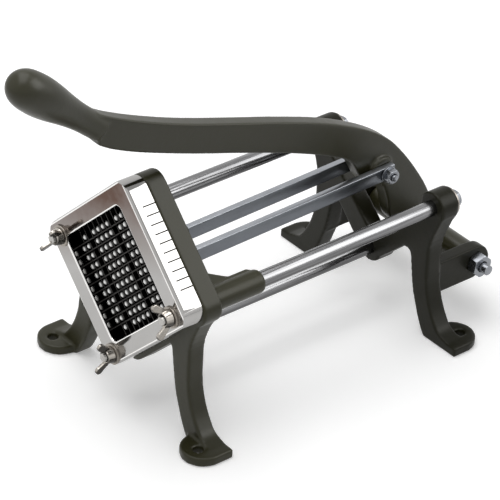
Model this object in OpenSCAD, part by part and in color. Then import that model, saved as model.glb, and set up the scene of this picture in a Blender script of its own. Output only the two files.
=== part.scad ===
// French fry cutter: a potato is pushed through a square blade grid by a lever, two links and a pin block.
// X runs from the blade end (-X) to the lever pivot (+X), Y across, Z up from the counter.
// The origin is on the counter, at the centre of the four foot bolts.

/* [Stand] */
// Foot bolt spacing along the cutter
foot_pitch_x = 261; // [250:1:275]
// Foot bolt spacing across the cutter
foot_pitch_y = 179; // [175:1:190]
// Width of a foot pad
foot_width = 34.5; // [33:0.5:41]
// Thickness of a foot pad
foot_height = 7.5; // [6.5:0.5:10]
// Foot bolt hole diameter
foot_hole_d = 8.5; // [6:0.5:10]
// Width of a leg across the cutter
leg_width = 19.5; // [17:0.5:22]
// Depth of a leg along the cutter
leg_depth = 15; // [13:0.5:17]

/* [Blade head] */
// Height of the blade centre above the counter
head_height = 118; // [116:0.5:124]
// Side of the square blade opening
opening = 87; // [82:0.5:88]
// Depth of the blade holder
holder_depth = 18; // [17:0.5:22]
// Depth of the front casting's square plate
plate_depth = 17; // [16:0.2:20]
// Blades each way
blade_count = 10; // [6:1:10]
// Thickness of a blade
blade_t = 0.8; // [0.6:0.1:1.1]
// Distance from one blade to the next
blade_pitch = 7.35; // [6.8:0.05:7.8]
// Width of a blade strip
blade_w = 10.8; // [9:0.2:11.6]

/* [Guide rods] */
// Diameter of the three guide rods
rod_d = 12.7; // [11:0.1:13.5]
// Distance between the two side rods
side_rod_pitch = 132; // [130:0.5:134]
// Distance of the bottom rod below the blade centre
bottom_rod_drop = 71; // [69:0.5:72]
// Diameter of the rods' threaded studs
stud_d = 7.9; // [6:0.1:8.2]

/* [Pusher] */
// Side of the square pusher block
block_side = 84; // [78:0.5:85]
// Diameter of a pusher pin
pin_d = 4.8; // [3.5:0.1:5.2]
// Wall of the pusher block, which is open at the back
block_wall = 4; // [3:0.5:6]
// How far the pins stand out of the block
pin_length = 12.6; // [9:0.2:13]
// Outer diameter of the guide sleeves
sleeve_d = 18.6; // [17.5:0.1:20]
// Length of the guide sleeves
sleeve_length = 47.5; // [40:0.5:52]

/* [Lever and links] */
// Thickness of the lever arm
lever_t = 13; // [11:0.5:15]
// Largest diameter of the hand grip
grip_d = 31; // [28:0.5:36]
// Length of the hand grip
grip_length = 99.5; // [94:0.5:108]
// Diameter of the lever's cross tube
hub_d = 23; // [21:0.5:25]
// Diameter of the pivot bolt
pivot_d = 9.5; // [8:0.1:12]
// How far the lever pivot lies below the bottom rod
pivot_drop = 2; // [0:0.5:3]
// Width of a link bar
link_w = 11.5; // [11:0.5:13]
// Thickness of a link bar
link_t = 5.2; // [4:0.2:6]
// Diameter of the bolts at the ends of the links
link_bolt_d = 6.4; // [5.5:0.1:8]

/* [Hidden] */
$fn = 64;
// Clearance of a turning shaft and of a stud in a cast hole, the gap between faces, and the reach of a cut
run = 0.05;
loose = 0.2;
gap = 0.3;
past = 1;

// Places along the cutter, from the front face of the blade holder back
foot_x = foot_pitch_x / 2;
foot_y = foot_pitch_y / 2;
foot_nose = 12;
foot_shift = 1.5;
hole_to_face = 12;
rear_set = 19.5;
pivot_set = 36;
rear_depth = leg_depth;
face_x = -foot_x - hole_to_face;
plate_x = face_x + holder_depth;
plate_back = plate_x + plate_depth;
rear_face_x = foot_x - rear_set;
rear_back = rear_face_x + rear_depth;
pivot_x = foot_x + pivot_set;

// Head: how far the holder reaches past the opening along its two square directions
rim_v = 31;
rim_u = 36.5;
plate_lip = 1;
holder_side_v = opening + rim_v;
holder_side_u = opening + rim_u;
plate_side = holder_side_u + plate_lip;
holder_r = 13;
holder_edge_r = 3;
opening_r = 5;
blade_x = plate_x - gap - blade_w;
blade_play = 0.1;
slit_w = blade_t + 2 * blade_play;

// Rods
rod_dip = 0.8;
side_y = side_rod_pitch / 2;
side_z = head_height - rod_dip;
bottom_z = head_height - bottom_rod_drop;
ROD_PLACES = [[side_y, side_z], [-side_y, side_z], [0, bottom_z]];
boss_r = 13;
boss_proud = 2;
boss_front = rear_face_x;
boss_back = rear_back + boss_proud;
seat_x = rear_face_x + rear_depth / 2;
washer_t = 1.6;
rod_washer_r = 11.5;
wing_washer_r = 8.5;
nut_flats = 12.7;
nut_h = 6.5;
stud_end = 2;
wing_hub_h = 6;
wing_hub_r = 6.8;
wing_top_r = 5.6;
wing_t = 2.6;
WING_TURNS = [30, -20, 4];
stud_front = face_x - washer_t - gap - wing_hub_h - stud_end;
stud_back = boss_back + washer_t + nut_h + stud_end;

// Legs: the inner line that their edges are measured from, and where they join the frames above
leg_set = 43;
leg_line = foot_y - leg_set;
leg_top_drop = 4;
leg_root_drop = 43;

// Pusher
block_start = 0.7;
block_r = 4;
block_front = plate_x + block_start;
block_back = plate_back + block_start;
base_t = 7;
sleeve_x = plate_back + block_start;
sleeve_back = sleeve_x + sleeve_length;
sleeve_edge = 3.5;
web_t = 9.5;
web_reach = block_side / sqrt(2) - web_t;
lug_half = 10.3;
web_lap = 1;
pin_set = 14;
pin_rest_x = sleeve_x + pin_set;
pin_rest_z = head_height;

// Lever and links
pivot_height = bottom_z - pivot_drop;
arm_half_out = 64;
arm_t = 11;
arm_r = 14;
arm_half_in = arm_half_out - arm_t;
link_dx = -56.5;
link_dz = 77.5;
link_x = pivot_x + link_dx;
link_z = pivot_height + link_dz;
link_in = lug_half + gap;
link_out = link_in + link_t;
link_past = 7;
boss_link_r = 11;
link_flats = 11.1;
link_nut_h = 5.5;
link_head_h = 4.4;
link_washer_r = 6.8;
link_washer_t = 1.2;
pivot_flats = 16.8;
pivot_nut_h = 8;
pivot_head_h = 6;
pivot_end = 6.7;
pivot_turn = 17;
pivot_seat = arm_half_out + gap / 2;

// The lever turns until its link bolt is as high again behind the pivot as it was in front of it.
// Half way it has risen above that height, so the bolt at the pusher runs in an upright slot.
link_radius = norm([link_dx, link_dz]);
link_rise = link_radius - link_dz;
link_stray = 1.6;
slot_r = link_bolt_d / 2 + link_stray + gap;
lug_wall = 6.2;
lug_r = slot_r + lug_wall;
grip_tip = [-405.7, 270.7];
grip_angle = 39.7;

BLADES = [1 : blade_count];

// ---- helpers ----

// A smooth line through hand-placed points
function curve_point(a, b, c, d, t) =
    0.5 * (2 * b + (c - a) * t + (2 * a - 5 * b + 4 * c - d) * t * t + (3 * b - a - 3 * c + d) * t * t * t);
function smooth(pts, steps) = concat(
    [for (i = [0 : len(pts) - 2], k = [0 : steps - 1])
        curve_point(pts[max(i - 1, 0)], pts[i], pts[i + 1], pts[min(i + 2, len(pts) - 1)], k / steps)],
    [pts[len(pts) - 1]]);
function mirrored(pts) = [for (p = pts) [-p[0], p[1]]];

// A rectangle with round corners, centred
module rounded_square(w, h, r) {
    square([w - 2 * r, h], center = true);
    square([w, h - 2 * r], center = true);
    for (i = [-1, 1], j = [-1, 1])
        translate([i * (w / 2 - r), j * (h / 2 - r)]) circle(r);
}

// Extrudes a Y-Z drawing along X
module slab(x, depth) {
    translate([x, 0, 0]) rotate([90, 0, 90]) linear_extrude(depth) children();
}

// Extrudes an X-Z drawing along Y, from one Y to another
module panel(y0, y1) {
    translate([0, y1, 0]) rotate([90, 0, 0]) linear_extrude(y1 - y0) children();
}

// A round bar along X or along Y
module bar_x(r, x0, x1) {
    translate([x0, 0, 0]) rotate([0, 90, 0]) cylinder(r = r, h = x1 - x0);
}
module bar_y(r, y0, y1) {
    translate([0, y1, 0]) rotate([90, 0, 0]) cylinder(r = r, h = y1 - y0);
}

// Turns a drawing or solid into the blade square, which stands on its corner
module head() {
    translate([0, 0, head_height]) rotate([45, 0, 0]) children();
}

// A hexagon of a given width across its flats
module hexagon(flats) {
    circle(d = flats / cos(30), $fn = 6);
}

// Puts its children on each rod's axis
module at_rod(place) {
    translate([0, place[0], place[1]]) children();
}

// ---- castings ----

// A leg's two edges: how far each point lies out from the leg's line, and its share of the head's height
LEG_OUTER = [[2, 0.73], [0.8, 0.56], [1.6, 0.39], [6.6, 0.246], [14.2, 0.136], [19.4, 0.092]];
LEG_INNER = [[18.5, 0.04], [13.7, 0.119], [9.4, 0.212], [5.6, 0.305], [2.4, 0.44]];
sole_out = 30;
sole_in = 22;
root_out = 15;
root_up = 22;

// Outline of one leg, on the +Y side, from its top down to the pad and up to its inner top points
function leg_outline(top_out, tops_in) =
    let (y_out = leg_line + leg_width, y_in = leg_line)
    concat(
        smooth(concat([top_out], [for (p = LEG_OUTER) [y_out + p[0], p[1] * head_height]],
            [[y_out + sole_out, foot_height]]), 4),
        [[y_out + sole_out, 0]],
        smooth(concat([[y_in + sole_in, 0]], [for (p = LEG_INNER) [y_in + p[0], p[1] * head_height]],
            tops_in), 4),
        [tops_in[len(tops_in) - 1] + [root_out, root_up]]);

module legs(tops_in) {
    top_out = [side_y + boss_r, side_z - leg_top_drop];
    polygon(leg_outline(top_out, tops_in));
    polygon(mirrored(leg_outline(top_out, tops_in)));
}

// Two foot pads, each round at the end past its bolt hole and square where it meets the leg
module feet(direction, leg_end) {
    r = foot_width / 2;
    round_x = direction * (foot_x + foot_nose - r);
    for (s = [-1, 1]) translate([0, s * (foot_y - foot_shift), 0]) linear_extrude(foot_height) {
        intersection() {
            translate([round_x, 0]) circle(r);
            translate([direction > 0 ? leg_end : leg_end - 2 * foot_width, -r])
                square([2 * foot_width, foot_width]);
        }
        translate([min(round_x, leg_end), -r]) square([abs(round_x - leg_end), foot_width]);
    }
}

module foot_holes(direction) {
    for (s = [-1, 1])
        translate([direction * foot_x, s * foot_y, -past])
            cylinder(d = foot_hole_d, h = foot_height + leg_depth + leg_width);
}

// The plate's outline: its upper far side stays flush with the blade holder
module plate_outline() {
    half_v = (holder_side_v + plate_side) / 2;
    translate([(holder_side_v - plate_side) / 4, 0]) rounded_square(half_v, plate_side, holder_r);
}

module front_frame() {
    color([0.22, 0.22, 0.18]) difference() {
        union() {
            head() slab(plate_x, plate_depth) plate_outline();
            slab(plate_x, leg_depth) legs([[leg_line - 1, side_z - leg_root_drop]]);
            feet(-1, plate_x + leg_depth);
        }
        head() slab(plate_x - past, plate_depth + 2 * past) rounded_square(opening, opening, opening_r);
        for (p = ROD_PLACES)
            at_rod(p) bar_x(stud_d / 2 + loose, plate_x - past, plate_back + past);
        foot_holes(-1);
    }
}

// Outline of one arm of the rear V, from the bottom rod up to a side rod
v_low = 12;
v_flat = 4.3;
v_under = 31;
v_high = 13.5;
arm_in = 8;
arm_out = 4;
function v_arm_outline() = [[0, bottom_z - v_low], [v_flat, bottom_z - v_low],
    [side_y - arm_in, side_z - v_under], [side_y + arm_out, side_z - v_low],
    [side_y - 1, side_z], [0, bottom_z + v_high]];

// The rounded corner between a rear leg and the V: out from the leg's line, and up from the bottom rod
CROTCH = [[0.7, 15.5], [-0.4, 19.2], [-2.8, 21], [-6.5, 20.9]];

module rear_frame() {
    color([0.22, 0.22, 0.18]) difference() {
        union() {
            slab(rear_face_x, rear_depth) {
                polygon(v_arm_outline());
                polygon(mirrored(v_arm_outline()));
                legs([for (p = CROTCH) [leg_line + p[0], bottom_z + p[1]]]);
            }
            for (p = ROD_PLACES)
                at_rod(p) bar_x(boss_r, boss_front, boss_back);
            for (s = [-1, 1])
                panel(s > 0 ? arm_half_in : -arm_half_out, s > 0 ? arm_half_out : -arm_half_in) pivot_arm();
            feet(1, rear_face_x);
        }
        for (p = ROD_PLACES) at_rod(p) {
            bar_x(rod_d / 2 + run, boss_front - past, seat_x);
            bar_x(stud_d / 2 + loose, boss_front - past, boss_back + past);
        }
        at_pivot() bar_y(pivot_d / 2 + run, -arm_half_out - past, arm_half_out + past);
        foot_holes(1);
    }
}

// Side view of an arm that carries the lever's pivot bolt
module pivot_arm() {
    root_x = rear_face_x + rear_depth / 3;
    translate([root_x, pivot_height - arm_r]) square([pivot_x - root_x, 2 * arm_r]);
    translate([pivot_x, pivot_height]) circle(arm_r);
}

// ---- guide rods and their fasteners ----

module guide_rod(place) {
    color([0.8, 0.8, 0.82]) at_rod(place) {
        bar_x(rod_d / 2, plate_back, seat_x);
        bar_x(stud_d / 2, stud_front, stud_back);
    }
}

module guide_rod_far() { guide_rod(ROD_PLACES[0]); }
module guide_rod_near() { guide_rod(ROD_PLACES[1]); }
module guide_rod_bottom() { guide_rod(ROD_PLACES[2]); }

module washer_x(x, r, hole_r) {
    difference() {
        bar_x(r, x, x + washer_t);
        bar_x(hole_r, x - past, x + washer_t + past);
    }
}

module wing_washers() {
    color([0.7, 0.68, 0.62]) for (p = ROD_PLACES)
        at_rod(p) washer_x(face_x - washer_t, wing_washer_r, stud_d / 2 + loose);
}

module rod_washers() {
    color([0.7, 0.7, 0.7]) for (p = ROD_PLACES)
        at_rod(p) washer_x(boss_back, rod_washer_r, stud_d / 2 + loose);
}

module rod_nuts() {
    color([0.7, 0.7, 0.7]) for (p = ROD_PLACES)
        at_rod(p) difference() {
            slab(boss_back + washer_t, nut_h) hexagon(nut_flats);
            bar_x(stud_d / 2 + run, boss_back, stud_back);
        }
}

// A wing nut on the -X end of a rod, its wings turned by an angle
module wing_nut(place, turn) {
    base = face_x - washer_t - gap;
    color([0.7, 0.68, 0.62]) at_rod(place) rotate([turn, 0, 0]) difference() {
        union() {
            translate([base, 0, 0]) rotate([0, -90, 0])
                cylinder(r1 = wing_hub_r, r2 = wing_top_r, h = wing_hub_h);
            for (s = [0, 180]) rotate([s, 0, 0])
                panel(-wing_t / 2, wing_t / 2) translate([base, 0]) wing();
        }
        bar_x(stud_d / 2 + run, stud_front - past, face_x);
    }
}

// Side view of one wing: a rounded blade that leans outwards
WING = [[-1.2, 4.6], [-5.6, 4.6], [-12.6, 8.6], [-8.6, 13], [-2, 7.5]];
wing_tip = [-10.6, 10.8];
wing_tip_r = 3;
module wing() {
    polygon(WING);
    translate(wing_tip) circle(wing_tip_r);
}

module wing_nut_far() { wing_nut(ROD_PLACES[0], WING_TURNS[0]); }
module wing_nut_near() { wing_nut(ROD_PLACES[1], WING_TURNS[1]); }
module wing_nut_bottom() { wing_nut(ROD_PLACES[2], WING_TURNS[2]); }

// ---- blade holder and blades ----

// Where blade number i stands, from the middle of the opening
function blade_at(i) = (i - (blade_count - 1) / 2) * blade_pitch;

module blade_holder() {
    color([0.85, 0.85, 0.86]) difference() {
        head() intersection() {
            slab(face_x, holder_depth) rounded_square(holder_side_v, holder_side_u, holder_r);
            translate([face_x, 0, 0])
                panel(-holder_side_v, holder_side_v) softened(holder_side_u, holder_edge_r);
            translate([face_x, 0, 0]) rotate([90, 0, 0])
                panel(-holder_side_u, holder_side_u) softened(holder_side_v, holder_edge_r);
        }
        head() slab(face_x - past, holder_depth + 2 * past) rounded_square(opening, opening, opening_r);
        head() for (i = [0 : blade_count - 1]) {
            translate([blade_x - blade_play, blade_at(i) - slit_w / 2, -holder_side_u])
                cube([holder_depth, slit_w, 2 * holder_side_u]);
            translate([blade_x - blade_play, -holder_side_v, blade_at(i) - slit_w / 2])
                cube([holder_depth, 2 * holder_side_v, slit_w]);
        }
        for (p = ROD_PLACES)
            at_rod(p) bar_x(stud_d / 2 + loose, face_x - past, plate_x + past);
    }
}

// Side view of the holder, with its two front corners rounded
module softened(side, r) {
    translate([r, -side / 2]) square([holder_depth - r, side]);
    translate([0, -side / 2 + r]) square([holder_depth, side - 2 * r]);
    for (s = [-1, 1]) translate([r, s * (side / 2 - r)]) circle(r);
}

// One blade strip with a notch for every crossing blade, drawn along its length
module blade_strip(length, from_back) {
    half = blade_w / 2 + blade_play;
    difference() {
        translate([0, -length / 2]) square([blade_w, length]);
        for (i = [0 : blade_count - 1])
            translate([from_back ? blade_w - half : -past, blade_at(i) - slit_w / 2])
                square([half + past, slit_w]);
    }
}

// Blade number i of those that lie one way, and of those that cross them
module blade_across(i) {
    color([0.35, 0.35, 0.36]) head() translate([blade_x, 0, 0])
        panel(blade_at(i - 1) - blade_t / 2, blade_at(i - 1) + blade_t / 2)
            blade_strip(holder_side_u - past, true);
}

module blade_upright(i) {
    color([0.35, 0.35, 0.36]) head() translate([blade_x, 0, 0]) rotate([90, 0, 0])
        panel(blade_at(i - 1) - blade_t / 2, blade_at(i - 1) + blade_t / 2)
            blade_strip(holder_side_v - past, false);
}

// ---- pusher ----

// The square block that fills the opening: a base with a rim, open at the back
module block_shell() {
    pocket = block_side - 2 * block_wall;
    difference() {
        slab(block_front, block_back - block_front) rounded_square(block_side, block_side, block_r);
        slab(block_front + base_t, block_back - block_front) rounded_square(pocket, pocket, block_r / 2);
    }
}

// Outline of a web from the block's back out to a sleeve, drawn along X and outwards from the middle
WEB_EDGE = [[27, 12.6], [22, 19], [14, 29], [2, 36]];
web_inset = 2;
function web_outline(axis) = concat([[block_front + base_t - past, 0],
    [block_front + base_t - past, web_reach], [sleeve_x + web_inset, web_reach],
    [sleeve_x + web_inset, axis], [sleeve_back - sleeve_edge, axis],
    [sleeve_back, axis - sleeve_edge], [sleeve_back, axis - sleeve_d / 2 + web_lap],
    [sleeve_back - sleeve_edge, axis - WEB_EDGE[0][1]]],
    [for (p = WEB_EDGE) [sleeve_x + p[0], axis - p[1]]], [[sleeve_x + web_inset, 0]]);

// A guide sleeve with a rounded back end
module sleeve() {
    translate([sleeve_x, 0, 0]) rotate([0, 90, 0]) rotate_extrude() {
        square([sleeve_d / 2 - sleeve_edge, sleeve_length]);
        square([sleeve_d / 2, sleeve_length - sleeve_edge]);
        translate([sleeve_d / 2 - sleeve_edge, sleeve_length - sleeve_edge]) intersection() {
            circle(sleeve_edge);
            square(sleeve_edge);
        }
    }
}

module pusher_block() {
    color([0.22, 0.22, 0.18]) difference() {
        union() {
            head() block_shell();
            for (p = ROD_PLACES) at_rod(p) sleeve();
            translate([0, 0, side_z - web_t / 2]) linear_extrude(web_t) {
                polygon(web_outline(side_y));
                polygon([for (p = web_outline(side_y)) [p[0], -p[1]]]);
            }
            translate([0, 0, head_height]) panel(-web_t / 2, web_t / 2)
                polygon([for (p = web_outline(bottom_rod_drop)) [p[0], -p[1]]]);
            lug();
        }
        for (p = ROD_PLACES)
            at_rod(p) bar_x(rod_d / 2 + run, sleeve_x - past, sleeve_back + past);
        at_pusher_pin() panel(-lug_half - past, lug_half + past) upright_slot(slot_r);
    }
}

// The lug between the links, with the slot that the pusher's bolt runs in
module lug() {
    panel(-lug_half, lug_half)
        translate([block_front + base_t - past, pin_rest_z - lug_r])
            square([pin_rest_x - block_front - base_t + past, 2 * lug_r + link_rise]);
    at_pusher_pin() panel(-lug_half, lug_half) upright_slot(lug_r);
}

// An upright shape with round ends that follows the bolt's rise
module upright_slot(r) {
    translate([-r, 0]) square([2 * r, link_rise]);
    circle(r);
    translate([0, link_rise]) circle(r);
}

// Columns that have no pins, counted from the low far side of the opening
PLAIN_COLUMNS = [2, 7];
cells = blade_count + 1;
dome_h = pin_d / 3;
dome_sink = pin_d / 4;
dome_d = 1.22 * pin_d;
function cell_at(i) = (i - (cells - 1) / 2) * blade_pitch;
function is_corner(c, r) = (c == 0 || c == cells - 1) && (r == 0 || r == cells - 1);

module pusher_pins() {
    color([0.75, 0.75, 0.76]) head()
        for (c = [0 : cells - 1], r = [0 : cells - 1])
            if (len(search(c, PLAIN_COLUMNS)) == 0 && !is_corner(c, r))
                translate([block_front, cell_at(r), cell_at(c)]) rotate([0, -90, 0]) {
                    cylinder(d = pin_d, h = pin_length - dome_h, $fn = 24);
                    translate([0, 0, pin_length - dome_h]) pin_dome();
                }
}

// Low dome on the end of a pin
module pin_dome() {
    rotate_extrude($fn = 24) intersection() {
        translate([0, -dome_sink]) circle(d = dome_d, $fn = 32);
        square([pin_d / 2, dome_h]);
    }
}

// ---- links and their bolts ----

// A flat bar with square ends and a hole at each end
module link(y0) {
    length = norm([link_x - pin_rest_x, link_z - pin_rest_z]);
    angle = atan2(link_z - pin_rest_z, link_x - pin_rest_x);
    color([0.62, 0.65, 0.7]) panel(y0, y0 + link_t) translate([pin_rest_x, pin_rest_z]) rotate(angle)
        difference() {
            translate([-link_past, -link_w / 2]) square([length + 2 * link_past, link_w]);
            circle(link_bolt_d / 2 + run);
            translate([length, 0]) circle(link_bolt_d / 2 + run);
        }
}

module link_far() { link(link_in); }
module link_near() { link(-link_out); }

// A nut drawn across Y
module nut_y(y0, h, flats, bore_r) {
    panel(y0, y0 + h) difference() {
        hexagon(flats);
        circle(bore_r);
    }
}

module at_link() { translate([link_x, 0, link_z]) children(); }
module at_pusher_pin() { translate([pin_rest_x, 0, pin_rest_z]) children(); }
module at_pivot() { translate([pivot_x, 0, pivot_height]) children(); }

// The bolt, nut and washers that hold the two links, used at the lever and at the pusher
washer_y = link_out + gap;
link_nut_y = washer_y + link_washer_t;

module small_bolt() {
    bar_y(link_bolt_d / 2, -link_nut_y - link_nut_h - stud_end, link_nut_y);
    panel(link_nut_y, link_nut_y + link_head_h) hexagon(link_flats);
}

module small_nut() {
    nut_y(-link_nut_y - link_nut_h, link_nut_h, link_flats, link_bolt_d / 2 + run);
}

module small_washers() {
    for (y = [-link_nut_y, washer_y])
        panel(y, y + link_washer_t) difference() {
            circle(link_washer_r);
            circle(link_bolt_d / 2 + loose);
        }
}

module link_bolt() { color([0.7, 0.72, 0.76]) at_link() small_bolt(); }
module link_nut() { color([0.7, 0.72, 0.76]) at_link() small_nut(); }
module link_washers() { color([0.7, 0.72, 0.76]) at_link() small_washers(); }
module pusher_bolt() { color([0.7, 0.72, 0.76]) at_pusher_pin() small_bolt(); }
module pusher_nut() { color([0.7, 0.72, 0.76]) at_pusher_pin() small_nut(); }
module pusher_washers() { color([0.7, 0.72, 0.76]) at_pusher_pin() small_washers(); }

// ---- lever ----

// The arm's upper and lower edges, measured from the pivot
LEVER_TOP = [[-334, 223], [-318, 214], [-290, 201], [-250, 185], [-200, 168], [-155, 153], [-112, 137],
    [-75, 119], [-50, 102], [-33, 84], [-17, 62.5], [-4, 41.5], [3, 25], [8, 5]];
LEVER_UNDER = [[-13, 2], [-22, 10], [-33, 18], [-41, 28], [-46, 46], [-52, 60], [-60, 62], [-69, 67],
    [-77, 77], [-82, 86], [-90, 96], [-112, 108], [-150, 124], [-200, 142], [-245, 157.5], [-290, 174.5],
    [-318, 187], [-333, 196]];
// The grip's outline: shares of its length and of its largest radius
GRIP = [[0, 0], [0.005, 0.3], [0.023, 0.55], [0.062, 0.77], [0.12, 0.92], [0.195, 0.985], [0.3, 1],
    [0.42, 0.94], [0.548, 0.82], [0.665, 0.72], [0.783, 0.66], [0.902, 0.65], [1, 0.66]];

module lever() {
    color([0.24, 0.24, 0.2]) at_pivot() difference() {
        union() {
            panel(-lever_t / 2, lever_t / 2) polygon(concat(smooth(LEVER_TOP, 4), smooth(LEVER_UNDER, 4)));
            bar_y(hub_d / 2, -arm_half_in + gap, arm_half_in - gap);
            translate([link_dx, 0, link_dz]) bar_y(boss_link_r, -lug_half, lug_half);
            translate([grip_tip[0], 0, grip_tip[1]]) rotate([0, 90 + grip_angle, 0]) hand_grip();
        }
        bar_y(pivot_d / 2 + run, -arm_half_out, arm_half_out);
        translate([link_dx, 0, link_dz]) bar_y(link_bolt_d / 2 + run, -2 * lug_half, 2 * lug_half);
    }
}

// The grip is turned about its own axis and thins towards the arm
module hand_grip() {
    outline = smooth([for (g = GRIP) [g[1] * grip_d / 2, g[0] * grip_length]], 3);
    rotate_extrude() polygon(concat([for (p = outline) [max(p[0], 0), p[1]]], [[0, grip_length]]));
}

module pivot_bolt() {
    color([0.72, 0.74, 0.78]) at_pivot() {
        bar_y(pivot_d / 2, -pivot_seat - pivot_nut_h - pivot_end, pivot_seat);
        panel(pivot_seat, pivot_seat + pivot_head_h) rotate(pivot_turn) hexagon(pivot_flats);
    }
}

module pivot_nut() {
    color([0.72, 0.74, 0.78]) at_pivot() rotate([0, -pivot_turn, 0])
        nut_y(-pivot_seat - pivot_nut_h, pivot_nut_h, pivot_flats, pivot_d / 2 + run);
}

front_frame();
rear_frame();
guide_rod_far();
guide_rod_near();
guide_rod_bottom();
blade_holder();
for (i = BLADES) {
    blade_across(i);
    blade_upright(i);
}
pusher_block();
pusher_pins();
pusher_bolt();
pusher_nut();
pusher_washers();
link_far();
link_near();
lever();
link_bolt();
link_nut();
link_washers();
pivot_bolt();
pivot_nut();
wing_nut_far();
wing_nut_near();
wing_nut_bottom();
wing_washers();
rod_nuts();
rod_washers();
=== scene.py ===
import math

import bpy
from bpy.props import FloatProperty, FloatVectorProperty, IntProperty, PointerProperty
from bpy.types import Operator, Panel, PropertyGroup
from mathutils import Matrix, Vector


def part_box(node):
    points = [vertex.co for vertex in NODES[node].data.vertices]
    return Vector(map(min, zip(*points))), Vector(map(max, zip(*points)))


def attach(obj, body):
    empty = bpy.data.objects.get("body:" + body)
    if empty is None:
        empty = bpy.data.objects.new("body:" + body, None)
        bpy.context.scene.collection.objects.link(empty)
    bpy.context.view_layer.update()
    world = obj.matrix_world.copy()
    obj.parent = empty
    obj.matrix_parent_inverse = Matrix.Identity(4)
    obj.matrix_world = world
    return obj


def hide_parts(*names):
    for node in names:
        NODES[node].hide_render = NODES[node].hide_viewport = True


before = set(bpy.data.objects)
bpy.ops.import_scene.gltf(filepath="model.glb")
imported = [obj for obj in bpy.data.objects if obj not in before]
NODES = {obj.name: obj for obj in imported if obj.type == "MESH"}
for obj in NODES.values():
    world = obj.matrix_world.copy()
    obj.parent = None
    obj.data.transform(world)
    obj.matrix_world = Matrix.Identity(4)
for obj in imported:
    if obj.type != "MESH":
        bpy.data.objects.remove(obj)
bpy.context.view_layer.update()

bl_info = {
    "name": "French fry cutter",
    "version": (1, 0, 0),
    "blender": (4, 5, 0),
    "location": "3D View > Sidebar > Fry Cutter",
    "description": "Dresses the potato cutter: castings, chrome, links, nuts and bolts, blades",
    "category": "Object",
}

MM = 0.001
RODS = ("far", "near", "bottom")

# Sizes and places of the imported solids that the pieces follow
ROD_R = 6.35 * MM
ROD_FRONT = -107.5 * MM
ROD_BACK = 118.5 * MM
BOSS_FRONT = 111.0 * MM
STUD_R = 3.95 * MM
NUT_CORNER = 7.332 * MM
LINK_BOLT_R = 3.2 * MM
LINK_HEAD_H = 4.4 * MM
LINK_WASHER_T = 1.2 * MM
WING_WASHER_R = 8.5 * MM
ROD_WASHER_R = 11.5 * MM
PIVOT_R = 4.75 * MM
PIVOT_FLATS = 16.8 * MM
PIVOT_HEAD_H = 6.0 * MM
FOOT_X = 130.5 * MM
FOOT_Y = 89.5 * MM
FOOT_TOP = 10.0 * MM
WINDOW_HALF = 43.5 * MM

# Sizes of the dressing
WASHER_PLAY = 0.2 * MM
WASHER_EDGE = 0.25 * MM
PLUG_LAP = 0.6 * MM
WELD = 0.002 * MM
EDGE_SEEK = 0.05 * MM
WING_CELL = 0.35 * MM
WING_PASSES = 6
BORE_SIDES = 48
THREAD_SIDES = 32
THREAD_STEPS = 24

# How much wider than a hexagon's corners the disc is that turns them down, and the share of the
# chamfer that rounds its edges afterwards
TURNING_PLAY = 1.002
HEX_EDGE_SHARE = 0.18

# A thread's ridge, and the chamfer on its core, as shares of its depth
RIDGE_SHARE = 1.05
CORE_EDGE_SHARE = 0.6

# Degrees between two faces: up to FLAT they are one face, past the EDGE angles their edge is
# rounded, and past the RIM angles it stays sharp in the shading
FLAT = 0.5
PLAIN_EDGE = 30.0
TURNED_EDGE = 40.0
HEX_EDGE = 25.0
DISC_EDGE = 60.0
TURNED_RIM = 35.0
HEX_RIM = 28.0
THREAD_RIM = 40.0
PLATE_RIM = 32.0
STRIP_RIM = 20.0
DRILLED_RIM = 50.0

# The faces of the holder and the links, told apart by how far they face along X or up, and the
# places of their materials
FRONT_FACING = -0.985
RIM_FACING = -0.85
SIDE_FACING = 0.5
TOP_FACING = 0.5
# The holder's second material is a painted highlight on its front edges, its third a painted shade
# in its slits; the links' second material is a painted highlight on their top faces.
PLATED, HIGHLIGHTED, SHADED = 0, 1, 2
FLANK, TOP_HIGHLIGHT = 0, 1

# Patterns in the materials, in metres, and how deep their bumps are
PAINT_CLOUD = 0.045
PAINT_LUMPS = 0.006
# Size of the patches of the painted highlight on the castings' edges
PAINT_EDGE_HIGHLIGHT = 0.012
PAINT_DEPTH = 0.00022
CHROME_HAZE = 0.03
CHROME_DEPTH = 0.00006
STEEL_CLOUD = 0.02
PIN_WEAR = 0.0015
PIN_DEPTH = 0.00003
LINK_DEPTH = 0.00003
EVEN = (1.0, 1.0, 1.0)

# The Mix node's sockets for colours
MIX_FIRST, MIX_SECOND, MIX_RESULT = 6, 7, 2

# The holder's painted reflection, a brown darkening of its front face: the height where it begins,
# and how it grows upward and to the far side
PAINTED_REFLECTION_FROM = 0.120
PAINTED_REFLECTION_UP = 16.0
PAINTED_REFLECTION_FAR = 7.0

# The stage
WHITE = (1.0, 1.0, 1.0, 1.0)
FLOOR_SIDE = 14.0
FLOOR_DROP = 0.0002
LAMP_AIM = (0.0, 0.0, 0.1)
KEY_PLACE = (-0.25, 0.3, 1.9)
KEY_SIZE = (2.2, 1.7)
SHEEN_PLACE = (1.1, -1.1, 1.36)
SHEEN_SIZE = (1.6, 1.6)
CEILING_FROM = 0.60
CEILING_GAIN = 4.0
CAMERA_PLACE = (-1.514077, -1.713937, 1.589591)
CAMERA_RIGHT = (0.7719092513, -0.6338917777, 0.0483458576)
CAMERA_UP = (0.3180749473, 0.4509341222, 0.8339584794)
CAMERA_BACK = (-0.5504402199, -0.6283626594, 0.5497053144)
SENSOR_WIDTH = 36.0
FAR_CLIP = 40.0


# ---------------------------------------------------------------- sizes and colours

def length(name, text, default):
    return FloatProperty(name=name, description=text, default=default, min=0.0, max=1.0,
                         unit="LENGTH", subtype="DISTANCE", precision=5)


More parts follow.
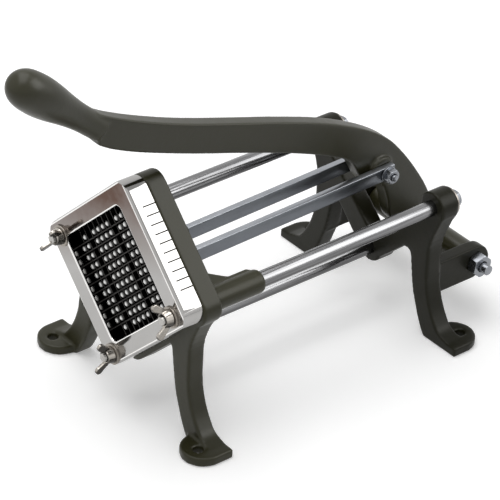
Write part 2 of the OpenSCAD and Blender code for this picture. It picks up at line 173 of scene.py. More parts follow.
def factor(name, text, default):
    return FloatProperty(name=name, description=text, default=default, min=0.0, max=1.0,
                         subtype="FACTOR")


def colour(name, text, default):
    return FloatVectorProperty(name=name, description=text, default=default, min=0.0, max=1.0,
                               size=3, subtype="COLOR")


def power(name, text, default):
    return FloatProperty(name=name, description=text, default=default, min=0.0, max=500.0,
                         unit="POWER")


class CastingSizes(PropertyGroup):
    paint: colour("Paint", "Colour of the satin paint on the castings", (0.0248, 0.0237, 0.0088))
    grain: length("Sand grain", "Size of the sand-cast grain under the paint", 0.0011)
    roughness: factor("Roughness", "Roughness of the paint", 0.34)
    cell: length("Surface cell", "Size of the mesh cells that a casting is rebuilt with", 0.0010)
    rounding: IntProperty(name="Rounding", default=12, min=1, max=30,
                          description="Smoothing passes that round a casting's edges")
    hole: length("Foot hole", "Radius of the drilled hole in each foot", 0.00425)


class ChromeSizes(PropertyGroup):
    plating: colour("Plating", "Colour of the bright chrome", (0.29, 0.29, 0.295))
    holder: colour("Holder plating", "Colour of the plating on the blade holder",
                   (0.395, 0.388, 0.378))
    # Painted highlight: a bright colour on the window's lip and the rounded rim of the front face.
    painted_light: colour("Polished edges", "Colour of the rubbed, bright edges of the blade holder",
                   (0.85, 0.84, 0.82))
    # Painted shade: a near-black colour on the walls of the slits.
    slit_shade: colour("Slits", "Colour of the dark metal inside the holder's slits",
                 (0.012, 0.012, 0.012))
    # Painted reflection: a brown tint that darkens the top and far side of the holder's front
    # face.
    painted_reflection_tint: colour("Stain", "Brownish tint of the plating on the holder's front face",
                  (0.100, 0.058, 0.043))
    roughness: factor("Roughness", "Roughness of the bright chrome", 0.08)
    lip: length("Window lip", "Rounding round the blade holder's window", 0.0012)
    rod_end: length("Rod chamfer", "Chamfer on the ends of the guide rods", 0.0008)


class FastenerSizes(PropertyGroup):
    zinc: colour("Zinc", "Colour of the zinc plating", (0.25, 0.26, 0.28))
    nickel: colour("Wing nuts", "Colour of the cast wing nuts", (0.46, 0.43, 0.39))
    stud: colour("Studs", "Colour of the threaded ends of the guide rods", (0.42, 0.41, 0.39))
    washer: colour("Washers", "Colour of the plated washers", (0.30, 0.275, 0.245))
    chamfer: length("Chamfer", "How far a hexagon's corners are turned down", 0.0009)
    small_pitch: length("Small thread pitch", "Thread pitch of the studs and link bolts", 0.00141)
    large_pitch: length("Large thread pitch", "Thread pitch of the pivot bolt", 0.00159)
    thread_depth: length("Thread depth", "Depth of the threads", 0.0006)


class SteelSizes(PropertyGroup):
    link: colour("Links", "Colour of the flat link bars", (0.145, 0.155, 0.17))
    # Painted highlight: a brighter colour on the faces of the links that face up.
    top_highlight: colour("Link edges", "Colour of the bright sheared edges of the links",
                    (0.34, 0.355, 0.38))
    # Painted shade: the blade strips are made almost black, much darker than bare steel.
    blade: colour("Blades", "Colour of the blade strips", (0.030, 0.028, 0.026))
    # Painted highlight: this colour is shown only where the pins' tips face forward.
    pin: colour("Pins", "Colour of the tips of the pusher pins", (0.62, 0.62, 0.61))
    set_back: length("Blade set-back", "How far the blades' ends sit back inside their slits",
                     0.0025)
    link_edge: length("Link edge", "Rounding along the edges of the link bars", 0.0005)


class StageSizes(PropertyGroup):
    floor: colour("Floor", "Colour of the floor", (0.90, 0.90, 0.90))
    lens: FloatProperty(name="Lens", description="Focal length of the camera", default=258.58,
                        min=50.0, max=500.0, unit="CAMERA")
    key: power("Key lamp", "Power of the large lamp overhead", 31.0)
    sheen: power("Sheen lamp", "Power of the softbox that only reflections show", 25.0)
    air: factor("Air", "Strength of the light from all round", 0.30)
    ceiling: factor("Ceiling", "How bright the studio's ceiling looks in reflections", 0.55)
    glow: factor("Floor glow", "White that the floor adds in the render and in reflections", 0.31)


# ---------------------------------------------------------------- material expressions

class Expr:
    """A number in a material; arithmetic on it adds Math nodes."""

    def __init__(self, nodes, socket):
        self.nodes = nodes
        self.socket = socket

    def math(self, operation, *values, clamp=False):
        node = self.nodes.node("ShaderNodeMath", {"operation": operation, "use_clamp": clamp},
                               dict(enumerate(values)))
        return Expr(self.nodes, node.outputs[0])

    def __add__(self, other):
        return self.math("ADD", self, other)

    def __radd__(self, other):
        return self.math("ADD", other, self)

    def __sub__(self, other):
        return self.math("SUBTRACT", self, other)

    def __rsub__(self, other):
        return self.math("SUBTRACT", other, self)

    def __mul__(self, other):
        return self.math("MULTIPLY", self, other)

    def __rmul__(self, other):
        return self.math("MULTIPLY", other, self)

    def clamped(self):
        return self.math("ADD", self, 0.0, clamp=True)

    def above(self, level, gain=1.0):
        """How far it stands above a level, times a gain, kept between 0 and 1."""
        return ((self - level) * gain).clamped()


class NodeTree:
    """Makes the nodes of one material or world."""

    def __init__(self, tree):
        self.tree = tree

    def node(self, kind, settings=None, values=None):
        """Adds a node, sets it up, and gives its sockets their values or links."""
        node = self.tree.nodes.new(kind)
        for key, value in (settings or {}).items():
            setattr(node, key, value)
        for key, value in (values or {}).items():
            if isinstance(value, Expr):
                value = value.socket
            if isinstance(value, bpy.types.NodeSocket):
                self.tree.links.new(value, node.inputs[key])
            else:
                node.inputs[key].default_value = value
        return node

    def axis(self, kind, letter):
        """One coordinate of a place, or of the way a surface faces."""
        coords = self.node("ShaderNodeTexCoord").outputs[kind]
        return Expr(self, self.node("ShaderNodeSeparateXYZ", None, {0: coords}).outputs[letter])

    def seen_directly(self):
        """1 where the camera, a reflection or glass looks at it, and 0 for the light it gives."""
        path = self.node("ShaderNodeLightPath").outputs
        camera = Expr(self, path["Is Camera Ray"])
        return camera.math("MAXIMUM", camera.math("MAXIMUM", camera, path["Is Glossy Ray"]),
                           path["Is Transmission Ray"])


class Paint(NodeTree):
    """One node material, with a principled shader as its surface."""

    def __init__(self, name, **constants):
        self.material = bpy.data.materials.new(name)
        self.material.use_nodes = True
        super().__init__(self.material.node_tree)
        self.shader = self.tree.nodes["Principled BSDF"]
        for socket, value in constants.items():
            self.shader.inputs[socket.replace("_", " ")].default_value = value

    def noise(self, size, detail=3.0, roughness=0.5, stretch=EVEN):
        """A cloudy pattern with spots of a size, in metres."""
        coords = self.node("ShaderNodeTexCoord").outputs["Object"]
        place = self.node("ShaderNodeMapping", None, {"Vector": coords, "Scale": stretch})
        node = self.node("ShaderNodeTexNoise", None,
                         {"Vector": place.outputs[0], "Scale": 1.0 / size, "Detail": detail,
                          "Roughness": roughness})
        return Expr(self, node.outputs[0])

    def underside(self, level, gain):
        """A mask for painted shade: 0 on what faces up, and growing to 1 on what faces down."""
        return (level - self.axis("Normal", "Z") * gain).clamped()

    def mix(self, amount, first, second):
        """A colour between two colours or links."""
        first, second = (value if isinstance(value, bpy.types.NodeSocket) else (*value, 1.0)
                         for value in (first, second))
        node = self.node("ShaderNodeMix", {"data_type": "RGBA"},
                         {"Factor": amount, MIX_FIRST: first, MIX_SECOND: second})
        return node.outputs[MIX_RESULT]

    def feed(self, socket, value):
        if isinstance(value, Expr):
            value = value.socket
        self.tree.links.new(value, self.shader.inputs[socket])

    def bump(self, height, depth, strength):
        node = self.node("ShaderNodeBump", None,
                         {"Strength": strength, "Distance": depth, "Height": height})
        self.feed("Normal", node.outputs[0])


def shade_of(rgb, amount):
    """A colour made darker or lighter."""
    return tuple(min(1.0, c * amount) for c in rgb)


def casting_paint(name, painted_light_tint=1.0, gloss=0.27):
    """Satin paint on a sand casting, with a painted highlight that makes its sharp edges a little
    lighter.
    """
    sizes = bpy.context.scene.fry_castings
    paint = Paint(name, Specular_IOR_Level=gloss)
    # A scale other than 1 makes a darker or lighter copy of the paint: painted shade or painted
    # light.
    base = shade_of(sizes.paint, painted_light_tint)
    cloud = paint.noise(PAINT_CLOUD, detail=4.0, roughness=0.55)
    grain = paint.noise(sizes.grain, detail=2.0, roughness=0.6)
    lumps = paint.noise(PAINT_LUMPS, detail=2.0)
    edges = Expr(paint, paint.node("ShaderNodeNewGeometry").outputs["Pointiness"])
    # Painted highlight: the sharp edges are made lighter, in patches.
    edge_highlight = edges.above(0.52, 7.0) * (0.3 + 0.5 * paint.noise(PAINT_EDGE_HIGHLIGHT))
    tone = paint.mix(cloud, shade_of(base, 0.86), shade_of(base, 1.14))
    tone = paint.mix(grain.above(0.42) * 0.55, tone, shade_of(base, 0.6))
    tone = paint.mix(edge_highlight.clamped(), tone, shade_of(base, 1.8))
    paint.feed("Base Color", tone)
    paint.feed("Roughness", (sizes.roughness - 0.10) + 0.16 * cloud + 0.08 * grain)
    paint.bump(grain * 0.30 + lumps * 0.70, PAINT_DEPTH, 0.6)
    return paint.material


def bright_chrome(name, plating, along=EVEN, size=0.004, streaks=0.0, under=1.0, dull=0.0,
                  painted_reflection_tint=None):
    """Bright plating, with a painted reflection that turns the holder's front face brown toward
    its top, or with streaks and a painted shade that darkens the rods' undersides.
    """
    sizes = bpy.context.scene.fry_chrome
    paint = Paint(name, Metallic=1.0)
    haze = paint.noise(CHROME_HAZE, detail=4.0, roughness=0.6)
    lines = paint.noise(size, detail=4.0, roughness=0.7, stretch=along)
    tone = paint.mix(haze, shade_of(plating, 0.88), shade_of(plating, 1.10))
    # Painted reflection: the front face turns brown toward its top and its far side.
    if painted_reflection_tint:
        front = (0.0 - paint.axis("Normal", "X")).above(0.9, 20.0)
        rise = ((paint.axis("Object", "Z") - PAINTED_REFLECTION_FROM) * PAINTED_REFLECTION_UP
                + paint.axis("Object", "Y") * PAINTED_REFLECTION_FAR)
        brown = rise.clamped() * (0.55 + 0.8 * haze)
        tone = paint.mix(front * brown.clamped(), tone, painted_reflection_tint)
    if streaks:
        tone = paint.mix(lines.above(0.42, 4.0) * streaks, tone, shade_of(plating, 0.40))
        # Painted shade: what faces down is made darker.
        tone = paint.mix(paint.underside(0.55, 1.6), tone, shade_of(plating, under))
    paint.feed("Base Color", tone)
    paint.feed("Roughness", (sizes.roughness + dull - 0.03) + 0.06 * haze + 0.03 * lines)
    paint.bump(lines * 0.25 + haze * 0.75, CHROME_DEPTH, 0.5)
    return paint.material


def plated_steel(name, rgb, roughness, grain, along=EVEN, depth=0.00004, dull=0.8, under=1.0):
    """Zinc or nickel plating, clouded, with a fine grain that can run along one way, and a painted
    shade that can darken what faces down.
    """
    paint = Paint(name, Metallic=1.0)
    cloud = paint.noise(STEEL_CLOUD, detail=4.0, roughness=0.6)
    lines = paint.noise(grain, detail=3.0, roughness=0.65, stretch=along)
    tone = paint.mix(cloud, shade_of(rgb, dull), shade_of(rgb, 2.0 - dull))
    tone = paint.mix(lines.above(0.5) * 0.8, tone, shade_of(rgb, 0.72))
    # Painted shade: what faces down is made darker.
    if under < 1.0:
        tone = paint.mix(paint.underside(0.90, 2.0), tone, shade_of(rgb, under))
    paint.feed("Base Color", tone)
    paint.feed("Roughness", (roughness - 0.08) + 0.1 * cloud + 0.1 * lines)
    paint.bump(lines, depth, 0.6)
    return paint.material


# ---------------------------------------------------------------- hand tools

def only(*pieces):
    """Selects these pieces alone, with the first one active."""
    if bpy.context.mode != "OBJECT":
        bpy.ops.object.mode_set(mode="OBJECT")
    bpy.ops.object.select_all(action="DESELECT")
    for piece in pieces:
        piece.select_set(True)
    bpy.context.view_layer.objects.active = pieces[0]


def settle(piece):
    """Writes a piece's place and turn into its mesh."""
    only(piece)
    bpy.ops.object.transform_apply(location=True, rotation=True, scale=True)


def fit(piece, kind, **settings):
    """Adds a modifier and applies it."""
    only(piece)
    modifier = piece.modifiers.new(kind.lower(), kind)
    for key, value in settings.items():
        setattr(modifier, key, value)
    bpy.ops.object.modifier_apply(modifier=modifier.name)


def merged_copy(node, name):
    """A copy of a node's mesh with its corners welded."""
    piece = bpy.data.objects.new(name, NODES[node].data.copy())
    bpy.context.scene.collection.objects.link(piece)
    only(piece)
    bpy.ops.object.mode_set(mode="EDIT")
    bpy.ops.mesh.select_all(action="SELECT")
    bpy.ops.mesh.remove_doubles(threshold=WELD)
    bpy.ops.object.mode_set(mode="OBJECT")
    if piece.data.has_custom_normals:
        bpy.ops.mesh.customdata_custom_splitnormals_clear()
    return piece


def plain_copy(node, name):
    """A copy of a node's mesh whose flat faces are single polygons."""
    piece = merged_copy(node, name)
    fit(piece, "DECIMATE", decimate_type="DISSOLVE", angle_limit=math.radians(FLAT))
    return piece


def rebuilt(piece, cell, passes):
    """Rebuilds a mesh from small cells and smooths it, which rounds it all over."""
    fit(piece, "REMESH", mode="VOXEL", voxel_size=cell, adaptivity=0.0, use_smooth_shade=True)
    fit(piece, "SMOOTH", factor=0.5, iterations=passes)


def smooth(piece, degrees):
    """Shades a piece smooth, but for its sharper edges."""
    only(piece)
    bpy.ops.object.shade_smooth_by_angle(angle=math.radians(degrees))


def soften(piece, width, segments, degrees):
    """Rounds a piece's sharper edges."""
    fit(piece, "BEVEL", width=width, segments=segments, limit_method="ANGLE",
        angle_limit=math.radians(degrees), miter_outer="MITER_ARC", use_clamp_overlap=True)


def cut(piece, tool, operation="DIFFERENCE"):
    """Cuts a piece with a tool, and throws the tool away."""
    fit(piece, "BOOLEAN", object=tool, operation=operation, solver="EXACT")
    bpy.data.objects.remove(tool)


def round_bar(name, radius, start, end, sides=64):
    """A round bar from one place to another."""
    start, end = Vector(start), Vector(end)
    turn = (end - start).to_track_quat("Z", "X").to_euler()
    bpy.ops.object.select_all(action="DESELECT")
    bpy.ops.mesh.primitive_cylinder_add(vertices=sides, radius=radius, depth=(end - start).length,
                                        location=(start + end) / 2, rotation=turn)
    piece = bpy.context.object
    piece.name = name
    settle(piece)
    return piece


def dress(piece, material, body, slot, *nodes):
    """Gives a finished piece its material and its body, and hides the nodes it replaces; the slot
    is not used.
    """
    piece.data.materials.clear()
    piece.data.materials.append(material)
    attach(piece, body)
    if nodes:
        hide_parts(*nodes)


def paint_node(name, material):
    """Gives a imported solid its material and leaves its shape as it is."""
    mesh = NODES[name].data
    mesh.materials.clear()
    mesh.materials.append(material)


def corners(name):
    """A node's lowest and highest corners at rest."""
    low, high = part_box(name)
    return Vector(low), Vector(high)


def middle(name):
    low, high = corners(name)
    return (low + high) / 2


def on_rod(side, x):
    """A place on a guide rod's axis."""
    axis = middle("guide_rod_" + side)
    return (x, axis.y, axis.z)


def square_reach(place):
    """How far a place lies from the middle along the head's two square directions."""
    return max(abs(place.y + place.z), abs(place.z - place.y)) / math.sqrt(2.0)


# ---------------------------------------------------------------- turned pieces

def thread(name, radius, start, end, pitch, depth):
    """A helical thread round a core, from start to end."""
    start, end = Vector(start), Vector(end)
    turn = (end - start).to_track_quat("Z", "X")
    ridge_r = depth * RIDGE_SHARE
    core = round_bar(name, radius - depth, start, end, THREAD_SIDES)
    soften(core, depth * CORE_EDGE_SHARE, 2, PLAIN_EDGE)
    bpy.ops.object.select_all(action="DESELECT")
    bpy.ops.mesh.primitive_circle_add(vertices=3, radius=ridge_r, fill_type="NOTHING",
                                      location=(radius - ridge_r, 0.0, 0.0),
                                      rotation=(math.pi / 2, 0.0, math.pi / 2))
    ridge = bpy.context.object
    settle(ridge)
    turns = max(1, int(((end - start).length - 2.0 * depth) / pitch))
    fit(ridge, "SCREW", axis="Z", angle=2 * math.pi, screw_offset=pitch, iterations=turns,
        steps=THREAD_STEPS, render_steps=THREAD_STEPS, use_merge_vertices=False)
    ridge.data.transform(Matrix.Translation((0.0, 0.0, depth)))
    ridge.data.transform(turn.to_matrix().to_4x4())
    ridge.data.transform(Matrix.Translation(start))
    only(ridge)
    bpy.ops.object.mode_set(mode="EDIT")
    bpy.ops.mesh.select_all(action="SELECT")
    bpy.ops.mesh.fill_holes(sides=4)
    bpy.ops.mesh.normals_make_consistent(inside=False)
    bpy.ops.object.mode_set(mode="OBJECT")
    only(core, ridge)
    bpy.ops.object.join()
    smooth(core, THREAD_RIM)
    return core


def turning_disc(radius, start, end, chamfer):
    """The chamfered disc that a hexagon is cut down to."""
    disc = round_bar("turning_disc", radius * TURNING_PLAY, start, end)
    fit(disc, "BEVEL", width=chamfer, segments=1, limit_method="ANGLE",
        angle_limit=math.radians(DISC_EDGE))
    return disc


def turn_down(piece, disc, chamfer):
    """Cuts a hexagon's corners down to a disc and rounds its edges a little."""
    cut(piece, disc, "INTERSECT")
    soften(piece, chamfer * HEX_EDGE_SHARE, 2, HEX_EDGE)
    smooth(piece, HEX_RIM)


def hexagon(name, node, radius, start, end, chamfer):
    """The part of a node's hexagon between two places, with its corners turned down."""
    piece = merged_copy(node, name)
    turn_down(piece, turning_disc(radius, start, end, chamfer), chamfer)
    return piece


def ring(name, radius, bore, start, end):
    """A flat washer with rounded rims."""
    start, end = Vector(start), Vector(end)
    piece = round_bar(name, radius, start, end)
    reach = (end - start) * 0.5
    cut(piece, round_bar(name + "_bore", bore, start - reach, end + reach, BORE_SIDES))
    soften(piece, WASHER_EDGE, 2, TURNED_EDGE)
    smooth(piece, TURNED_RIM)
    return piece


def cast_piece(node, name, material, body, slot, plugs=(), drills=(), cell=1.0, passes=1.0):
    """A casting: bores plugged, edges rounded all over, then its holes drilled."""
    sizes = bpy.context.scene.fry_castings
    piece = merged_copy(node, name)
    if plugs:
        only(piece, *[round_bar("plug", *plug) for plug in plugs])
        bpy.ops.object.join()
    rebuilt(piece, sizes.cell * cell, max(1, int(sizes.rounding * passes)))
    for drill in drills:
        cut(piece, round_bar("drill", *drill))
    only(piece)
    bpy.ops.object.shade_smooth()
    if drills:
        smooth(piece, DRILLED_RIM)
    dress(piece, material, body, slot, node)


# ---------------------------------------------------------------- operators

class FRY_OT_castings(Operator):
    """Rounds, drills and paints the front and rear castings"""
    bl_idname = "fry.castings"
    bl_label = "Castings"

    def execute(self, context):
        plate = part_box("blade_holder")[1][0]
        boss_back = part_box("rod_washers")[0][0]
        front = [self.bore(rod, STUD_R, plate, ROD_FRONT) for rod in RODS]
        rear = [self.bore(rod, ROD_R, BOSS_FRONT, boss_back) for rod in RODS]
        cast_piece("front_frame", "front_casting", casting_paint("casting_paint"), "frame",
                   "casting_paint", front, self.foot_holes(context, -1))
        # The rear casting's paint is made darker, a painted shade.
        cast_piece("rear_frame", "rear_casting",
                   casting_paint("rear_casting_painted_shade", painted_light_tint=0.40, gloss=0.16), "frame",
                   "casting_paint", rear, self.foot_holes(context, 1))
        return {"FINISHED"}

    def bore(self, rod, radius, start, end):
        """The plug for a rod's hole in a casting."""
        return (radius + PLUG_LAP, on_rod(rod, start), on_rod(rod, end), BORE_SIDES)

    def foot_holes(self, context, side):
        """The drills for the holes in a casting's two feet."""
        radius = context.scene.fry_castings.hole
        return [(radius, (side * FOOT_X, y, -PLUG_LAP), (side * FOOT_X, y, FOOT_TOP), BORE_SIDES)
                for y in (-FOOT_Y, FOOT_Y)]


class FRY_OT_lever(Operator):
    """Rounds and paints the lever with its grip and cross tube"""
    bl_idname = "fry.lever"
    bl_label = "Lever"

    def execute(self, context):
        cast_piece("lever", "lever_arm", casting_paint("lever_paint", gloss=0.36), "lever",
                   "lever_paint", cell=0.9, passes=1.5)
        return {"FINISHED"}


class FRY_OT_pusher(Operator):
    """Rounds and paints the pusher block, and finishes its pins"""
    bl_idname = "fry.pusher"
    bl_label = "Pusher"

    def execute(self, context):
        # The pusher's paint is made lighter, a painted light.
        cast_piece("pusher_block", "pusher_casting", casting_paint("pusher_paint", painted_light_tint=1.15),
                   "pusher", "pusher_paint", cell=0.9, passes=0.5)
        paint_node("pusher_pins", self.pin_metal(context.scene.fry_steel.pin))
        return {"FINISHED"}

    def pin_metal(self, rgb):
        """A painted highlight, bright where a pin's tip faces forward, and a painted shade, dark
        on the rims of the tips and along the sides.
        """
        paint = Paint("pin_metal", Metallic=1.0)
        wear = paint.noise(PIN_WEAR)
        # Painted highlight and shade: bright in the middle of each tip, dark on its rim and along
        # the sides.
        pin_highlight = (0.0 - paint.axis("Normal", "X")).above(0.72, 5.0)
        paint.feed("Base Color", paint.mix(pin_highlight, shade_of(rgb, 0.12), rgb))
        paint.feed("Roughness", 0.14 + 0.12 * wear)
        paint.bump(wear, PIN_DEPTH, 0.5)
        return paint.material


class FRY_OT_holder(Operator):
    """Rounds the window's lip of the blade holder and chromes it"""
    bl_idname = "fry.holder"
    bl_label = "Blade holder"

    def execute(self, context):
        sizes = context.scene.fry_chrome
        piece = plain_copy("blade_holder", "holder_frame")
        self.mark_lip(piece.data)
        fit(piece, "BEVEL", width=sizes.lip, segments=4, limit_method="WEIGHT",
            use_clamp_overlap=False)
        smooth(piece, PLATE_RIM)
        fit(piece, "WEIGHTED_NORMAL", keep_sharp=True, weight=50)
        # The holder's chrome gets the painted reflection on its front face.
        dress(piece, bright_chrome("chrome_holder", sizes.holder, painted_reflection_tint=sizes.painted_reflection_tint), "frame",
              "chrome_holder", "blade_holder")
        # A painted highlight on the front edges, and a painted shade in the slits.
        piece.data.materials.append(bright_chrome("chrome_highlight", sizes.painted_light))
        piece.data.materials.append(plated_steel("slit_shade_metal", sizes.slit_shade, 0.6, 0.001))
        self.painted_light(piece.data, sizes.lip)
        return {"FINISHED"}

    def mark_lip(self, mesh):
        """Marks the window's front edge for the rounding."""
        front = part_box("blade_holder")[0][0]
        centre = middle("blade_holder")
        marks = mesh.attributes.new("bevel_weight_edge", "FLOAT", "EDGE")
        for edge in mesh.edges:
            ends = [mesh.vertices[i].co for i in edge.vertices]
            reach = max(square_reach(end - centre) for end in ends)
            at_front = all(abs(end.x - front) < EDGE_SEEK for end in ends)
            if at_front and reach < WINDOW_HALF + EDGE_SEEK:
                marks.data[edge.index].value = 1.0

    def painted_light(self, mesh, lip_width):
        """A painted highlight, brighter metal, on the window's lip and round the front face, and a
        painted shade, dark metal, in the slits.
        """
        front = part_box("blade_holder")[0][0]
        centre = middle("blade_holder")
        for face in mesh.polygons:
            arm = face.center - centre
            slant = face.normal.x
            near = face.center.x - front < lip_width
            lip = slant > FRONT_FACING and square_reach(arm) < WINDOW_HALF + lip_width
            rim = FRONT_FACING < slant < RIM_FACING
            depth = abs(arm.dot(face.normal))
            # Painted shade: the walls of the slits get the dark metal.
            slit_shade = abs(slant) < SIDE_FACING and depth < WINDOW_HALF - lip_width
            if slit_shade:
                face.material_index = SHADED
            else:
                face.material_index = HIGHLIGHTED if near and (lip or rim) else PLATED


class FRY_OT_rods(Operator):
    """Turns the three guide rods with their chamfered ends and threaded studs"""
    bl_idname = "fry.rods"
    bl_label = "Guide rods"

    def execute(self, context):
        sizes = context.scene.fry_chrome
        bolts = context.scene.fry_fasteners
        # Painted shade makes the rods darker underneath.
        chrome = bright_chrome("chrome_rod", sizes.plating, along=(0.02, 1.0, 1.0), size=0.0022,
                               streaks=0.85, under=0.32, dull=0.13)
        zinc = plated_steel("stud_zinc", bolts.stud, 0.28, 0.002)
        for side in RODS:
            node = "guide_rod_" + side
            low, high = corners(node)
            rod = round_bar("rod_" + side, (high.z - low.z) / 2, on_rod(side, ROD_FRONT),
                            on_rod(side, ROD_BACK))
            soften(rod, sizes.rod_end, 3, TURNED_EDGE)
            smooth(rod, TURNED_RIM)
            dress(rod, chrome, "frame", "chrome_rod", node)
            for end, inner, outer in (("front", ROD_FRONT, low.x), ("back", ROD_BACK, high.x)):
                stud = thread("stud_%s_%s" % (side, end), STUD_R, on_rod(side, inner),
                              on_rod(side, outer), bolts.small_pitch, bolts.thread_depth)
                dress(stud, zinc, "frame", "zinc")
        return {"FINISHED"}


class FRY_OT_wing_nuts(Operator):
    """Rounds the cast wing nuts, and turns the washers at both ends of the rods"""
    bl_idname = "fry.wing_nuts"
    bl_label = "Wing nuts and washers"

    def execute(self, context):
        bolts = context.scene.fry_fasteners
        # Painted shade makes the wing nuts darker underneath.
        metal = plated_steel("wing_nut_metal", bolts.nickel, 0.12, 0.0016, depth=0.00010,
                             dull=0.60, under=0.16)
        for side in RODS:
            node = "wing_nut_" + side
            piece = merged_copy(node, "wing_" + side)
            rebuilt(piece, WING_CELL, WING_PASSES)
            only(piece)
            bpy.ops.object.shade_smooth()
            dress(piece, metal, node, "wing_nut_metal", node)
        plate = plated_steel("washer_zinc", bolts.washer, 0.3, 0.0012)
        for node, radius in (("wing_washers", WING_WASHER_R), ("rod_washers", ROD_WASHER_R)):
            low, high = corners(node)
            for side in RODS:
                piece = ring("%s_%s" % (node, side), radius, STUD_R + WASHER_PLAY,
                             on_rod(side, low.x), on_rod(side, high.x))
                dress(piece, plate, "frame", "zinc", node)
        return {"FINISHED"}


class FRY_OT_fasteners(Operator):
    """Makes the hexagon nuts, bolt heads, bolt threads and the washers of the links"""
    bl_idname = "fry.fasteners"
    bl_label = "Nuts and bolts"

    def execute(self, context):
        bolts = context.scene.fry_fasteners
        zinc = plated_steel("bolt_zinc", bolts.zinc, 0.26, 0.0015)
        self.rod_nuts(bolts, zinc)
        for kind in ("link", "pusher"):
            low, high = corners(kind + "_nut")
            corner = max(high.x - low.x, high.z - low.z) / 2
            self.across(bolts, zinc, kind, "links", LINK_BOLT_R, LINK_HEAD_H, corner,
                        bolts.small_pitch)
        # The pivot's hexagons are turned, so their corners come from their width over the flats
        corner = PIVOT_FLATS / 2 / math.cos(math.radians(30))
        self.across(bolts, zinc, "pivot", "frame", PIVOT_R, PIVOT_HEAD_H, corner,
                    bolts.large_pitch)
        for kind in ("link", "pusher"):
            self.link_washers(zinc, kind)
        return {"FINISHED"}

    def rod_nuts(self, bolts, material):
        """The three nuts behind the rear casting, turned down together."""
        low, high = corners("rod_nuts")
        piece = merged_copy("rod_nuts", "rod_hex_nuts")
        discs = [turning_disc(NUT_CORNER, on_rod(side, low.x), on_rod(side, high.x), bolts.chamfer)
                 for side in RODS]
        only(*discs)
        bpy.ops.object.join()
        turn_down(piece, discs[0], bolts.chamfer)
        dress(piece, material, "frame", "zinc", "rod_nuts")

    def across(self, bolts, material, kind, body, radius, head, corner, pitch):
        """A bolt that lies across the cutter, its head on the far side and its nut on the near."""
        low, high = corners(kind + "_bolt")
        nut_low, nut_high = corners(kind + "_nut")
        axis = middle(kind + "_nut")

        def at(y):
            return (axis.x, y, axis.z)

        nut = hexagon(kind + "_hex_nut", kind + "_nut", corner, at(nut_high.y), at(nut_low.y),
                      bolts.chamfer)
        dress(nut, material, body, "zinc", kind + "_nut")
        cap = hexagon(kind + "_bolt_head", kind + "_bolt", corner, at(high.y - head), at(high.y),
                      bolts.chamfer)
        shank = round_bar(kind + "_bolt_shank", radius, at(nut_high.y), at(high.y - head / 2),
                          BORE_SIDES)
        smooth(shank, TURNED_RIM)
        end = thread(kind + "_bolt_thread", radius, at(nut_high.y), at(low.y), pitch,
                     bolts.thread_depth)
        for piece in (cap, shank, end):
            dress(piece, material, body, "zinc", kind + "_bolt")

    def link_washers(self, material, kind):
        """The two washers of a bolt that the links hang on."""
        node = kind + "_washers"
        low, high = corners(node)
        axis = middle(node)
        for side, y in (("near", low.y), ("far", high.y - LINK_WASHER_T)):
            piece = ring("%s_washer_%s" % (kind, side), (high.z - low.z) / 2,
                         LINK_BOLT_R + WASHER_PLAY, (axis.x, y, axis.z),
                         (axis.x, y + LINK_WASHER_T, axis.z))
            dress(piece, material, "links", "zinc", node)


class FRY_OT_links(Operator):
    """Rounds the edges of the two link bars, with a painted highlight, a brighter colour, on their
    faces that face up
    """
    bl_idname = "fry.links"
    bl_label = "Links"

    def execute(self, context):
        steel = context.scene.fry_steel
        side, highlight_steel = (plated_steel(name, rgb, 0.3, 0.0012, along=(0.04, 1.0, 1.0), depth=LINK_DEPTH)
                     for name, rgb in (("link_steel", steel.link),
                                       ("link_top_highlight_steel", steel.top_highlight)))
        for node in ("link_far", "link_near"):
            piece = plain_copy(node, node.replace("link", "link_bar"))
            soften(piece, steel.link_edge, 3, TURNED_EDGE)
            smooth(piece, PLATE_RIM)
            dress(piece, side, "links", "link_steel", node)
            piece.data.materials.append(highlight_steel)
            # Painted highlight: the faces that face up get the brighter colour.
            for face in piece.data.polygons:
                face.material_index = TOP_HIGHLIGHT if face.normal.z > TOP_FACING else FLANK
        return {"FINISHED"}


class FRY_OT_blades(Operator):
    """Makes the blade strips, whose ends sit back inside the holder's slits"""
    bl_idname = "fry.blades"
    bl_label = "Blades"

    def execute(self, context):
        steel = context.scene.fry_steel
        # The strips' near-black colour is a painted shade.
        material = plated_steel("blade_steel", steel.blade, 0.34, 0.0015)
        for name in sorted(NODES):
            if name.startswith(("blade_across", "blade_upright")):
                strip = merged_copy(name, name.replace("blade", "strip"))
                low, high = corners(name)
                shorter = 1.0 - 2 * steel.set_back / math.hypot(high.y - low.y, high.z - low.z)
                only(strip)
                bpy.ops.transform.resize(value=(1.0, shorter, shorter),
                                         center_override=middle(name))
                settle(strip)
                smooth(strip, STRIP_RIM)
                dress(strip, material, "frame", "blade_steel", name)
        return {"FINISHED"}


def area_lamp(name, place, size, watts):
    """A rectangular lamp that points at the cutter."""
    data = bpy.data.lights.new(name, "AREA")
    data.shape = "RECTANGLE"
    data.size, data.size_y = size
    data.energy = watts
    lamp = bpy.data.objects.new(name, data)
    lamp.location = place
    lamp.rotation_euler = (Vector(LAMP_AIM) - Vector(place)).to_track_quat("-Z", "Y").to_euler()
    bpy.context.scene.collection.objects.link(lamp)
    return lamp


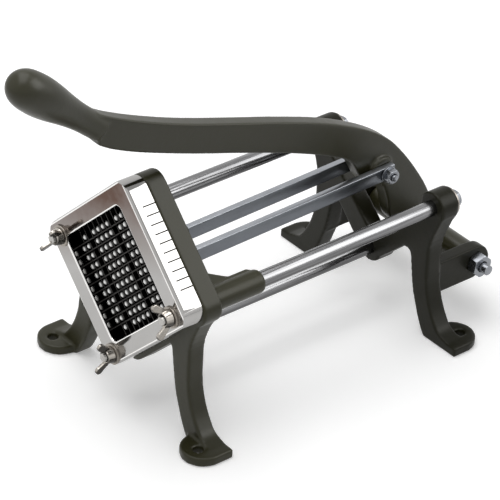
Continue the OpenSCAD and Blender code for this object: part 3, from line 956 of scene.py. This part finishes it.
class FRY_OT_stage(Operator):
    """Sets the floor, the lamps, the background and the camera"""
    bl_idname = "fry.stage"
    bl_label = "Stage"

    def execute(self, context):
        scene = context.scene
        sizes = scene.fry_stage
        bpy.ops.object.select_all(action="DESELECT")
        bpy.ops.mesh.primitive_plane_add(size=FLOOR_SIDE, location=(0.0, 0.0, -FLOOR_DROP))
        floor = context.object
        floor.name = "floor"
        settle(floor)
        floor.data.materials.append(self.floor_material(sizes))

        world = bpy.data.worlds.new("studio")
        world.use_nodes = True
        scene.world = world
        self.world_shader(world.node_tree, sizes)
        area_lamp("key_lamp", KEY_PLACE, KEY_SIZE, sizes.key)
        sheen = area_lamp("sheen_lamp", SHEEN_PLACE, SHEEN_SIZE, sizes.sheen)
        sheen.visible_diffuse = False

        camera = bpy.data.objects.new("camera", bpy.data.cameras.new("camera"))
        camera.data.lens = sizes.lens
        camera.data.sensor_width = SENSOR_WIDTH
        camera.data.clip_end = FAR_CLIP
        turn = Matrix((CAMERA_RIGHT, CAMERA_UP, CAMERA_BACK)).transposed()
        camera.matrix_world = Matrix.Translation(CAMERA_PLACE) @ turn.to_4x4()
        scene.collection.objects.link(camera)
        scene.camera = camera
        scene.view_settings.view_transform = "Standard"
        return {"FINISHED"}

    def floor_material(self, sizes):
        """A matt floor that looks whiter than the light it gives back."""
        floor = Paint("floor", Base_Color=(*sizes.floor, 1.0), Roughness=0.8,
                      Specular_IOR_Level=0.1)
        matt = floor.shader.outputs[0]
        glow = floor.node("ShaderNodeEmission", None, {"Strength": sizes.glow})
        both = floor.node("ShaderNodeAddShader", None, {0: matt, 1: glow.outputs[0]})
        mix = floor.node("ShaderNodeMixShader", None,
                         {0: floor.seen_directly(), 1: matt, 2: both.outputs[0]})
        surface = floor.tree.nodes["Material Output"].inputs["Surface"]
        floor.tree.links.new(mix.outputs[0], surface)
        return floor.material

    def world_shader(self, tree, sizes):
        """White all round with a dimmer ceiling where it is seen, and even, weaker light."""
        tree.nodes.clear()
        world = NodeTree(tree)
        ceiling = world.axis("Object", "Z").above(CEILING_FROM, CEILING_GAIN)
        air, walls, dim = (
            world.node("ShaderNodeBackground", None, {"Color": WHITE, "Strength": strength})
            for strength in (sizes.air, 1.0, sizes.ceiling))
        seen = world.node("ShaderNodeMixShader", None,
                          {0: ceiling, 1: walls.outputs[0], 2: dim.outputs[0]})
        mix = world.node("ShaderNodeMixShader", None,
                         {0: world.seen_directly(), 1: air.outputs[0], 2: seen.outputs[0]})
        world.node("ShaderNodeOutputWorld", None, {"Surface": mix.outputs[0]})


class FRY_PT_panel(Panel):
    """Lists the steps that dress the cutter, and their sizes and colours"""
    bl_label = "Fry Cutter"
    bl_space_type = "VIEW_3D"
    bl_region_type = "UI"
    bl_category = "Fry Cutter"

    def draw(self, context):
        for step in STEPS:
            self.layout.operator(step.bl_idname)
        for name, group in GROUPS.items():
            box = self.layout.box()
            for key in group.__annotations__:
                box.prop(getattr(context.scene, name), key)


GROUPS = {
    "fry_castings": CastingSizes,
    "fry_chrome": ChromeSizes,
    "fry_fasteners": FastenerSizes,
    "fry_steel": SteelSizes,
    "fry_stage": StageSizes,
}
STEPS = (FRY_OT_stage, FRY_OT_castings, FRY_OT_lever, FRY_OT_pusher, FRY_OT_holder, FRY_OT_rods,
         FRY_OT_wing_nuts, FRY_OT_fasteners, FRY_OT_links, FRY_OT_blades)


def register():
    for group in GROUPS.values():
        bpy.utils.register_class(group)
    for step in STEPS:
        bpy.utils.register_class(step)
    bpy.utils.register_class(FRY_PT_panel)
    for name, group in GROUPS.items():
        setattr(bpy.types.Scene, name, PointerProperty(type=group))


def unregister():
    for name in GROUPS:
        delattr(bpy.types.Scene, name)
    bpy.utils.unregister_class(FRY_PT_panel)
    for step in reversed(STEPS):
        bpy.utils.unregister_class(step)
    for group in GROUPS.values():
        bpy.utils.unregister_class(group)


def main():
    register()
    bpy.ops.fry.stage()
    bpy.ops.fry.castings()
    bpy.ops.fry.lever()
    bpy.ops.fry.pusher()
    bpy.ops.fry.holder()
    bpy.ops.fry.rods()
    bpy.ops.fry.wing_nuts()
    bpy.ops.fry.fasteners()
    bpy.ops.fry.links()
    bpy.ops.fry.blades()
    bpy.context.view_layer.update()


if __name__ == "__main__":
    main()
